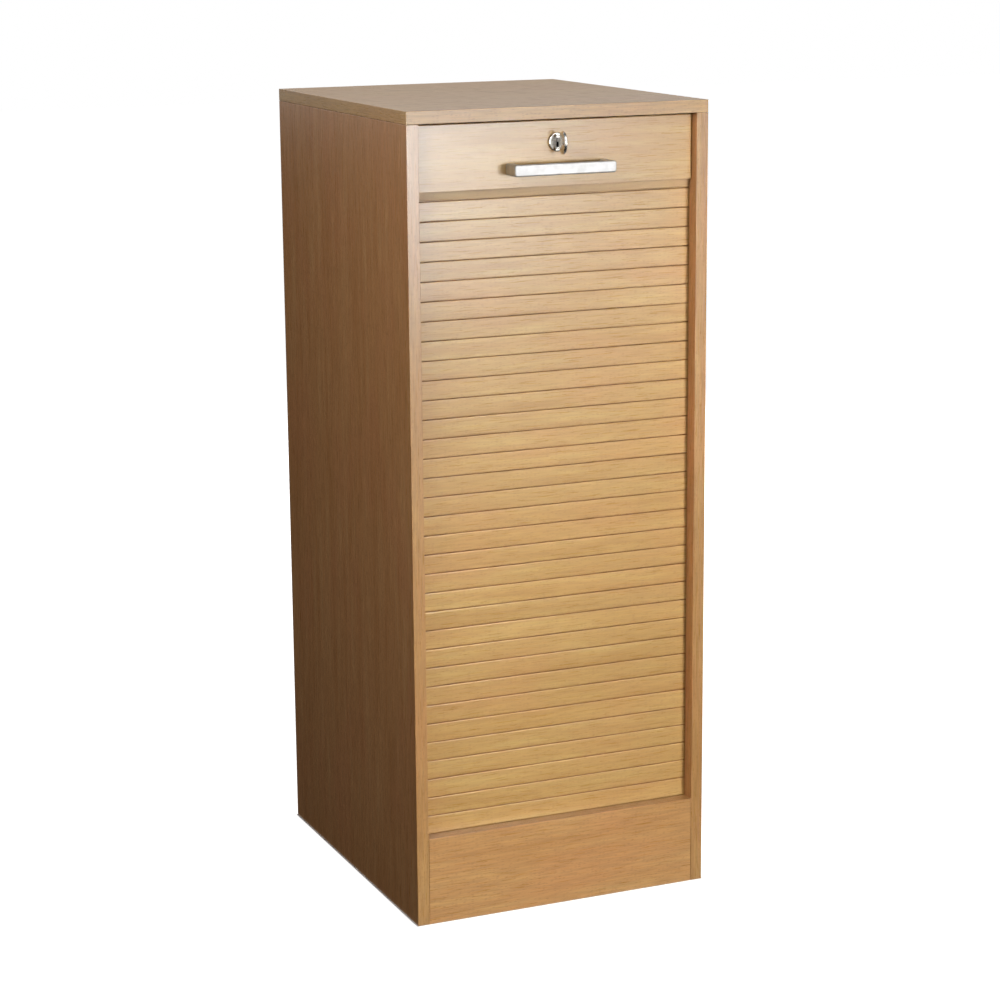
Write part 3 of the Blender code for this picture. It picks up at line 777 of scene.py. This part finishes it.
def dress_fittings():
    """Handle, lock and key."""
    make_handle(metal("satin_silver", HANDLE_COLOUR, HANDLE_ROUGH).material)
    make_rosette(metal("bright_nickel", ROSETTE_COLOUR, ROSETTE_ROUGH, ROSETTE_BUMP).material)
    finish_node("lock_plug", plug_metal("plug_nickel").material)
    soften("key", KEY_EDGE, metal("satin_nickel", KEY_COLOUR, KEY_ROUGH).material)


def dress_slats():
    """The shutter's slats below the lead rail."""
    # The slats' foil has painted shade in its grooves and painted light on the slats' flat tops
    foil = beech("beech_slats", "X", edged="Z", edge_tint_or_painted_shade=SLAT_GROOVE_PAINTED_SHADE, slatted=True, tint=FOIL_TINT,
                 figure=FOIL_FIGURE)
    make_slats(foil)


def seen_directly(tree):
    """1 for rays from the camera, or from a mirror or glass, and 0 for the rays that carry light."""
    path = tree.nodes.new("ShaderNodeLightPath")
    share = path.outputs["Is Camera Ray"]
    for name in ("Is Glossy Ray", "Is Transmission Ray"):
        either = tree.nodes.new("ShaderNodeMath")
        either.operation = "MAXIMUM"
        tree.links.new(share, either.inputs[0])
        tree.links.new(path.outputs[name], either.inputs[1])
        share = either.outputs["Value"]
    return share


def make_world():
    """A backdrop that is white to see and throws little light."""
    world = bpy.data.worlds.new("studio")
    bpy.context.scene.world = world
    world.use_nodes = True
    tree = world.node_tree
    background = tree.nodes["Background"]
    background.inputs["Color"].default_value = (*WHITE, 1.0)
    level = tree.nodes.new("ShaderNodeMapRange")
    level.inputs["To Min"].default_value = WORLD_FILL
    level.inputs["To Max"].default_value = WORLD_SEEN
    tree.links.new(seen_directly(tree), level.inputs["Value"])
    tree.links.new(level.outputs["Result"], background.inputs["Strength"])


def level_corners(low, high, z):
    """Corners of a level card between two (x, y) corners."""
    return [(low[0], low[1], z), (high[0], low[1], z), (high[0], high[1], z), (low[0], high[1], z)]


def upright_corners(left, right, y, top):
    """Corners of a card that stands on the floor across Y."""
    return [(left, y, 0.0), (right, y, 0.0), (right, y, top), (left, y, top)]


def make_card(name, corners):
    """A flat four-cornered card of the studio, not part of the object."""
    bm = bmesh.new()
    bm.faces.new([bm.verts.new(corner) for corner in corners])
    mesh = bpy.data.meshes.new(name)
    bm.to_mesh(mesh)
    bm.free()
    card = bpy.data.objects.new(name, mesh)
    bpy.context.scene.collection.objects.link(card)
    return card


def under_cabinet(finish):
    """1 on the floor under the cabinet and in a hairline round it, else 0; the hairline, without the
    floor's glow, is a painted contact shadow.
    """
    left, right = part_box("left_side_panel")[0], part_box("right_side_panel")[1]
    spot = finish.split(finish.place())
    across = finish.within(spot["X"], left.x - PAINTED_CONTACT_SHADOW_WIDTH, right.x + PAINTED_CONTACT_SHADOW_WIDTH)
    along = finish.within(spot["Y"], left.y - PAINTED_CONTACT_SHADOW_WIDTH, right.y + PAINTED_CONTACT_SHADOW_WIDTH)
    return finish.math("MULTIPLY", across, along)


def make_floor():
    """A pale floor that reads as white, keeps the shadow and throws little light back."""
    floor = make_card("floor", level_corners((-FLOOR_HALF, -FLOOR_HALF), (FLOOR_HALF, FLOOR_HALF), 0.0))
    finish = Finish("pale_floor")
    seen = seen_directly(finish.tree)
    away = finish.length(finish.place())
    glow = finish.ranged(away, FLOOR_NEAR, FLOOR_FAR, FLOOR_GLOW_NEAR, FLOOR_GLOW_FAR)
    # No glow under the cabinet, and a painted contact shadow in the hairline round it
    glow = finish.math("MULTIPLY", glow, finish.math("SUBTRACT", 1.0, under_cabinet(finish)))
    finish.surface("Roughness", 1.0)
    finish.surface("Specular IOR Level", 0.0)
    finish.surface("Emission Color", WHITE)
    finish.surface("Emission Strength", finish.math("MULTIPLY", seen, glow))
    finish.surface("Base Color", finish.ranged(seen, 0.0, 1.0, FLOOR_BOUNCE, FLOOR_WHITE))
    floor.data.materials.append(finish.material)


def make_flag(name, corners, material):
    """A dark card that only shows in reflections, as a studio's flag keeps glare off a glossy side."""
    flag = make_card(name, corners)
    flag.visible_camera = False
    flag.visible_diffuse = False
    flag.visible_shadow = False
    flag.visible_transmission = False
    flag.data.materials.append(material)


def make_flags():
    """Flags on the floor round the cabinet, upright behind it, and over the space in front of it."""
    finish = Finish("flag_cloth")
    weave = finish.noise(finish.place(), FLAG_WEAVE)
    finish.surface("Base Color", finish.mixed(weave, FLAG_GREY, BLACK))
    finish.surface("Specular IOR Level", 0.0)
    make_flag("floor_flag", level_corners(*FLOOR_FLAG), finish.material)
    make_flag("side_flag", upright_corners(*SIDE_FLAG), finish.material)
    make_flag("back_flag", upright_corners(*BACK_FLAG), finish.material)
    make_flag("over_flag", level_corners(*OVER_FLAG), finish.material)


def area_lamp(name, place, aim, size, power, spread=FULL_SPREAD, lights=True, mirrored=False):
    """A softbox the camera never sees. It lights surfaces, is mirrored by glossy ones, or both."""
    lamp = bpy.data.lights.new(name, "AREA")
    lamp.shape = "RECTANGLE"
    lamp.size, lamp.size_y = size
    lamp.energy = power
    lamp.spread = math.radians(spread)
    thing = bpy.data.objects.new(name, lamp)
    bpy.context.scene.collection.objects.link(thing)
    thing.location = place
    thing.rotation_mode = "QUATERNION"
    thing.rotation_quaternion = (aim - place).to_track_quat("-Z", "Y")
    thing.visible_camera = False
    thing.visible_diffuse = lights
    thing.visible_glossy = mirrored


def make_lamps():
    """The studio's lamps: for the front, as reflections in it, and for the other sides."""
    mirror = {"lights": False, "mirrored": True}
    area_lamp("key_light", FRONT_PLACE, FRONT_AIM, FRONT_SIZE, FRONT_POWER, FRONT_SPREAD)
    area_lamp("kick_light", FRONT_PLACE, KICK_AIM, KICK_SIZE, KICK_POWER, KICK_SPREAD)
    area_lamp("mid_light", FRONT_PLACE, MID_AIM, MID_SIZE, MID_POWER, MID_SPREAD)
    area_lamp("shine_light", SHINE_PLACE, SHINE_AIM, SHINE_SIZE, SHINE_POWER, **mirror)
    area_lamp("ridge_light", RIDGE_PLACE, RIDGE_AIM, RIDGE_SIZE, RIDGE_POWER, RIDGE_SPREAD, **mirror)
    area_lamp("fill_light", FILL_PLACE, FILL_AIM, FILL_SIZE, FILL_POWER)
    area_lamp("top_light", TOP_PLACE, TOP_AIM, TOP_SIZE, TOP_POWER)
    area_lamp("back_light", BACK_PLACE, BACK_AIM, BACK_SIZE, BACK_POWER)


def make_camera():
    """The photo's view: from the front left, a little above."""
    azimuth = math.radians(CAMERA_AZIMUTH)
    elevation = math.radians(CAMERA_ELEVATION)
    level = math.cos(elevation)
    back = Vector((math.sin(azimuth) * level, -math.cos(azimuth) * level, math.sin(elevation)))
    lens = bpy.data.cameras.new("camera")
    lens.sensor_width = CAMERA_SENSOR
    lens.lens = CAMERA_LENS
    camera = bpy.data.objects.new("camera", lens)
    bpy.context.scene.collection.objects.link(camera)
    camera.location = CAMERA_AIM + back * CAMERA_DISTANCE
    camera.rotation_mode = "QUATERNION"
    roll = Quaternion((0, 0, 1), math.radians(CAMERA_ROLL))
    camera.rotation_quaternion = (-back).to_track_quat("-Z", "Y") @ roll
    bpy.context.scene.camera = camera


dress_carcass()
dress_fittings()
dress_slats()
make_world()
make_floor()
make_flags()
make_lamps()
make_camera()
bpy.context.scene.view_settings.view_transform = "Standard"
